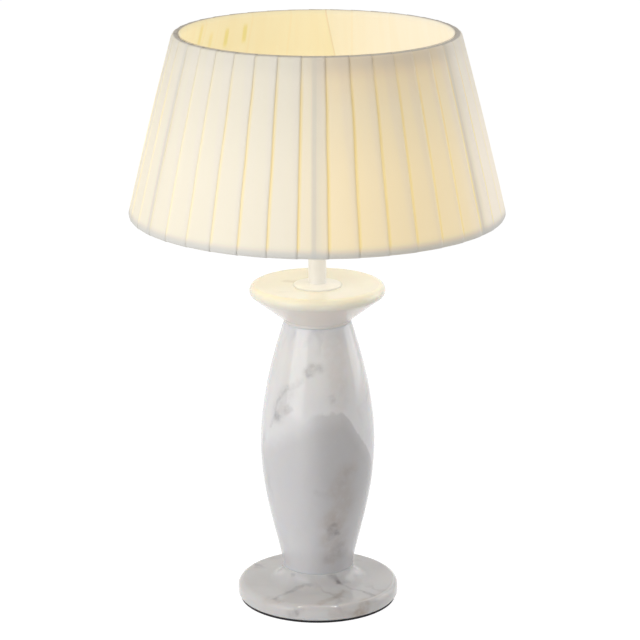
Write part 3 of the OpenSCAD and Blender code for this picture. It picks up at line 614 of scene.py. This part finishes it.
def over_crown(z, round_r, faded, full):
    """1 on the upper ring from full degrees round its wire, and 0 up to faded degrees."""
    section = z.maths("ARCTAN2", z - crown_z, round_r - crown_r)
    return section.rise(math.radians(faded), math.radians(full)) * z.rise(crown_z, crown_z + 0.001)


x, y, z, angle, round_r, height_share, pitch = round_shade(start)
weave = start.noise(start.node("CombineXYZ", {}, {0: angle * 0.13, 1: z, 2: 0.0}), 1400.0)
streaks = start.noise(start.node("CombineXYZ", {}, {0: angle * 5.0, 1: z * 3.0, 2: 0.0}), 2.4, 3.0)
# Painted in the glow: each ribbon's inner edge as a faint amber line, and the seam's shadow as a
# fine grey one.
behind_edge = (angle - first_edge) / pitch_turn + ribbon_w / pitch
whole = behind_edge.maths("FLOOR", behind_edge)
own = start.node("TexWhiteNoise", {"noise_dimensions": "1D"}, {"W": whole})
shown_line = ((behind_edge - whole - 0.5) * pitch).near_zero(0.0016, 0.0003)
shown_line = shown_line * (own * 0.35 + 0.05) * x.rise(0.12, -0.02)
seam_off = (start.maths("ARCTAN2", y, x) - seam_turn - (1 - height_share) * seam_lean) * round_r
seam_shadow = seam_off.near_zero(0.0011, 0.0004)
# The creases are at the left, where the cloth was drawn over a lap before it was sewn. Only
# their shade is painted, as darker lines in the glow.
crease_shade = None
for crease_turn, low, high, strength in lining_crease_shades:
    one = ((angle - math.radians(crease_turn)) * round_r).near_zero(0.0036, 0.0010) * strength
    one = one * z.rise(low - 0.003, low + 0.004) * z.rise(high + 0.003, high - 0.004)
    crease_shade = one if crease_shade is None else crease_shade.maths("MAXIMUM", crease_shade, one)
to_right = seam_off.rise(0.0006, -0.0006) * (x.rise(0.0, 0.11) * 0.65 + 0.35)
woven = start.tint(weave, rgb(0.70, 0.61, 0.46), rgb(0.66, 0.57, 0.42))
glow_at_top, glow_added = 1.52, 1.9
near_bulb = height_share.rise(0.82, 0.25) * glow_added + glow_at_top
left_glow = start.tint(streaks.rise(0.3, 0.75), rgb(0.25, 0.225, 0.125), rgb(0.24, 0.21, 0.105))
right_glow = start.tint(streaks.rise(0.3, 0.75), rgb(0.26, 0.26, 0.24), rgb(0.25, 0.245, 0.21))
warm = start.tint(to_right, left_glow, right_glow)
warm = start.tint(shown_line, warm, rgb(0.22, 0.175, 0.05))
# Painted shadow of the seam and painted shade of the creases, in the glow.
warm = start.tint(seam_shadow * 0.7, warm, rgb(0.15, 0.13, 0.05))
warm = start.tint(crease_shade, warm, rgb(0.19, 0.17, 0.0))
# Painted shade on the crest of the upper ring, where no glow comes through.
crest, crest_painted_shade = over_crown(z, round_r, 140, 112), rgb(0.60, 0.55, 0.48)
feed("Base Color", start.tint(crest, woven, crest_painted_shade))
warm = start.tint(crest, warm, rgb(0.0, 0.0, 0.0))
feed("Emission Color", start.node("VectorMath", {"operation": "SCALE"},
                                  {0: warm, "Scale": near_bulb}))
feed("Normal", relief(start, weave, 0.00005))
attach(lining, "shade")
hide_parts("shade_lining")

# Ribbons: forty cream ribbons of one width, each sewn inside the lower ring, drawn round it, up
# over the wires, round the upper ring and sewn inside it. Each laps over the next at its right.
# They are pitched at nine degrees, so the laps widen towards the top and less light comes through.
ribbon_t = 0.00018
# How far one climbs over each that it crosses, and its gap off the tape where it starts.
ply, gap = 0.0003, 0.0002
# Its hem inside each ring, how far the wall bulges, and how far its lower turn stands out.
hem, swell, out_at_hem = 0.006, 0.0008, 0.0004
taped_low, taped_high = wire_r + tape_below, wire_r + tape_above
# What is uneven in sewn cloth: a curled free edge, waves, puckers at the rings, and a sway.
edge_curl, wave_high, pucker_high, sway_wide, dies_out = 0.0001, 0.00006, 0.00008, 0.00035, 9


def ribbon_line():
    """The path of a ribbon in the (radius, height) plane, on the tape, with its outward normals
    and its place along the wall from 0 to 1."""
    low, high = np.array([ring_r + out_at_hem, ring_z]), np.array([crown_r, crown_z])
    line = [(*(low - taped_low * out + up * hem * s), *-out, 0.0) for s in (1.0, 0.5)]
    line += [p + (0.0,) for p in round_ring(low, taped_low, wall_turn - math.pi, wall_turn, 9)]
    for s in np.linspace(0, 1, 29)[1:-1]:
        r = taped_low + (taped_high - taped_low) * s + swell * 4 * s * (1 - s)
        line.append((*(low + (high - low) * s + out * r), *out, s))
    line += [p + (1.0,) for p in round_ring(high, taped_high, wall_turn, wall_turn + math.pi, 11)]
    line += [(*(high - taped_high * out - up * hem * s), *-out, 1.0) for s in (0.5, 1.0)]
    return np.array(line)


line = ribbon_line()
lanes = np.linspace(-1, 0, 13)
ribbons = []
for number in range(ribbon_count):
    edge_turn = first_edge + number * pitch_turn
    r, z = line[:, 0][:, None], line[:, 1][:, None]
    on_wall = line[:, 4][:, None]
    open_wall = np.sin(np.pi * on_wall)
    crossed = ribbon_w / (pitch_turn * r)
    lift = gap + ply * (1 + lanes)[None, :] * crossed
    wave = sum(rng.uniform(-1, 1) * np.sin(np.pi * n * on_wall + rng.uniform(0, 6.3))
               for n in (2, 3, 5))
    edge_rise = np.exp(lanes * dies_out)[None, :] * (edge_curl + wave_high * wave) * open_wall
    crease = np.exp(-on_wall * dies_out) + np.exp(-(1 - on_wall) * dies_out)
    pucker = np.sin(lanes * rng.uniform(9, 15) + rng.uniform(0, 6.3))[None, :] * crease
    pucker = pucker * pucker_high * ((on_wall > 0) & (on_wall < 1))
    rise = lift + edge_rise + pucker + wave_high * wave * open_wall
    r_out, z_out = r + line[:, 2][:, None] * rise, z + line[:, 3][:, None] * rise
    sway = wave * sway_wide * open_wall
    turn = edge_turn + (lanes[None, :] * ribbon_w + sway) / r_out
    ribbons.append(np.stack([r_out * np.sin(turn), -r_out * np.cos(turn), z_out], -1))

ribbon_cloth, start, feed = finish("ribbon_cloth", {"Roughness": 0.8, "Sheen Weight": 0.1,
                                                    "Emission Strength": 1.0})
x, y, z, angle, round_r, height_share, pitch = round_shade(start)
number = (angle - first_edge) / pitch_turn
whole = number.maths("FLOOR", number)
past_edge = (number - whole) * pitch
to_edge = pitch - past_edge
own = start.node("TexWhiteNoise", {"noise_dimensions": "1D"}, {"W": whole})
lap = (ribbon_w - pitch) * (own * 0.5 + 0.7)
double = (to_edge - lap).rise(0.0030, -0.0024)
# The glow is painted strongest and most yellow at the right of the front. Amber light is
# painted leaking from under the lapped edges there, and the cloth near each lapped edge is
# painted darker as its shadow; both are weaker at the left.
at_right = start.maths("COSINE", angle - 0.5).rise(0.78, 0.96)
leak_and_shadow_strength = start.maths("COSINE", angle - 0.6).rise(0.08, 0.90) * 0.82 + 0.18
groove = start.maths("MAXIMUM", past_edge.rise(0.0032, 0.0006), to_edge.rise(0.0012, 0.0002))
groove = groove * height_share.rise(0.0, 0.05) * (height_share.rise(1.0, 0.80) * 0.7 + 0.3)
leak_and_edge_shadow = groove * leak_and_shadow_strength
# The upright wires inside cast a grey shadow, sharp at one side.
strut_pitch, strut_first, shadow_off = math.radians(60), math.radians(-1), 0.0005
strut_number = (angle - strut_first) / strut_pitch + 0.5
past_strut = strut_number - strut_number.maths("FLOOR", strut_number) - 0.5
past_strut = past_strut * strut_pitch * round_r
core = (past_strut - shadow_off).near_zero(0.0040, 0.0008)
tail = past_strut.rise(-0.0015, 0.001) * past_strut.rise(0.012, 0.002)
strut_shade = start.maths("MAXIMUM", core * 0.50, tail * 0.26)
hemmed = height_share.rise(0.055, -0.005) * 0.85
crowned = height_share.rise(0.88, 1.01) * (at_right * 0.30 + 0.28)
weave = start.noise(start.node("CombineXYZ", {}, {0: past_edge, 1: z, 2: whole}), 1500.0, 2.0)
slub = start.noise(start.node("CombineXYZ", {}, {0: past_edge * 9.0, 1: z * 0.7, 2: whole * 0.37}),
                   34.0, 3.0)
cream = start.tint(slub, rgb(0.82, 0.785, 0.68), rgb(0.79, 0.75, 0.635))
cream = start.tint(own * 0.12, cream, rgb(0.74, 0.69, 0.56))
cream = start.tint(double * 0.5, cream, rgb(0.84, 0.80, 0.73))
# Painted shadow near each lapped edge.
cream = start.tint(leak_and_edge_shadow * 0.6, cream, rgb(0.60, 0.53, 0.34))
crest = over_crown(z, round_r, 50, 74)
# Painted shade: darker and browner towards the top at the right.
cream = start.tint(height_share.rise(0.70, 1.0) * at_right * 0.6, cream, rgb(0.80, 0.67, 0.53))
# Painted shade on the crest of the upper ring.
cream = start.tint(crest, cream, crest_painted_shade)
# Painted: the hem, where the ring cuts the glow, is tinted a cooler grey.
cream = start.tint(hemmed, cream, rgb(0.79, 0.785, 0.76))
feed("Base Color", cream)
# The bulb's light through the ribbons is painted as emission, dimmed at the laps, the struts, the
# hem, the top and the crest.
glow = (1 - double * (1 - groove) * 0.17) * (1 - strut_shade) * (1 - hemmed) * (1 - crowned)
glow = glow * (1 - crest * 0.85)
glow = glow * (height_share.rise(1.02, 0.30) * 0.36 + 0.64) * (0.93 + slub * 0.14)
side_glow = start.tint(x.rise(-0.05, 0.12), rgb(0.290, 0.248, 0.178), rgb(0.370, 0.315, 0.258))
through = start.tint(at_right, side_glow, rgb(0.395, 0.27, 0.080))
near_edge = past_edge.rise(0.016, 0.004) * at_right * 0.35
through = start.tint(near_edge, through, rgb(0.43, 0.285, 0.05))
amber = start.tint(leak_and_shadow_strength, rgb(0.40, 0.34, 0.20), rgb(0.50, 0.345, 0.06))
through = start.tint(groove * 0.8, through, amber)
through = start.tint(strut_shade, through, rgb(0.27, 0.245, 0.21))
feed("Emission Color", start.tint(glow, rgb(0, 0, 0), through))
feed("Normal", relief(start, weave, 0.00006))
cover = cloth("ribbon_cover", ribbons, ribbon_t, ribbon_cloth)
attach(cover, "shade")
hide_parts("shade_ribbons")
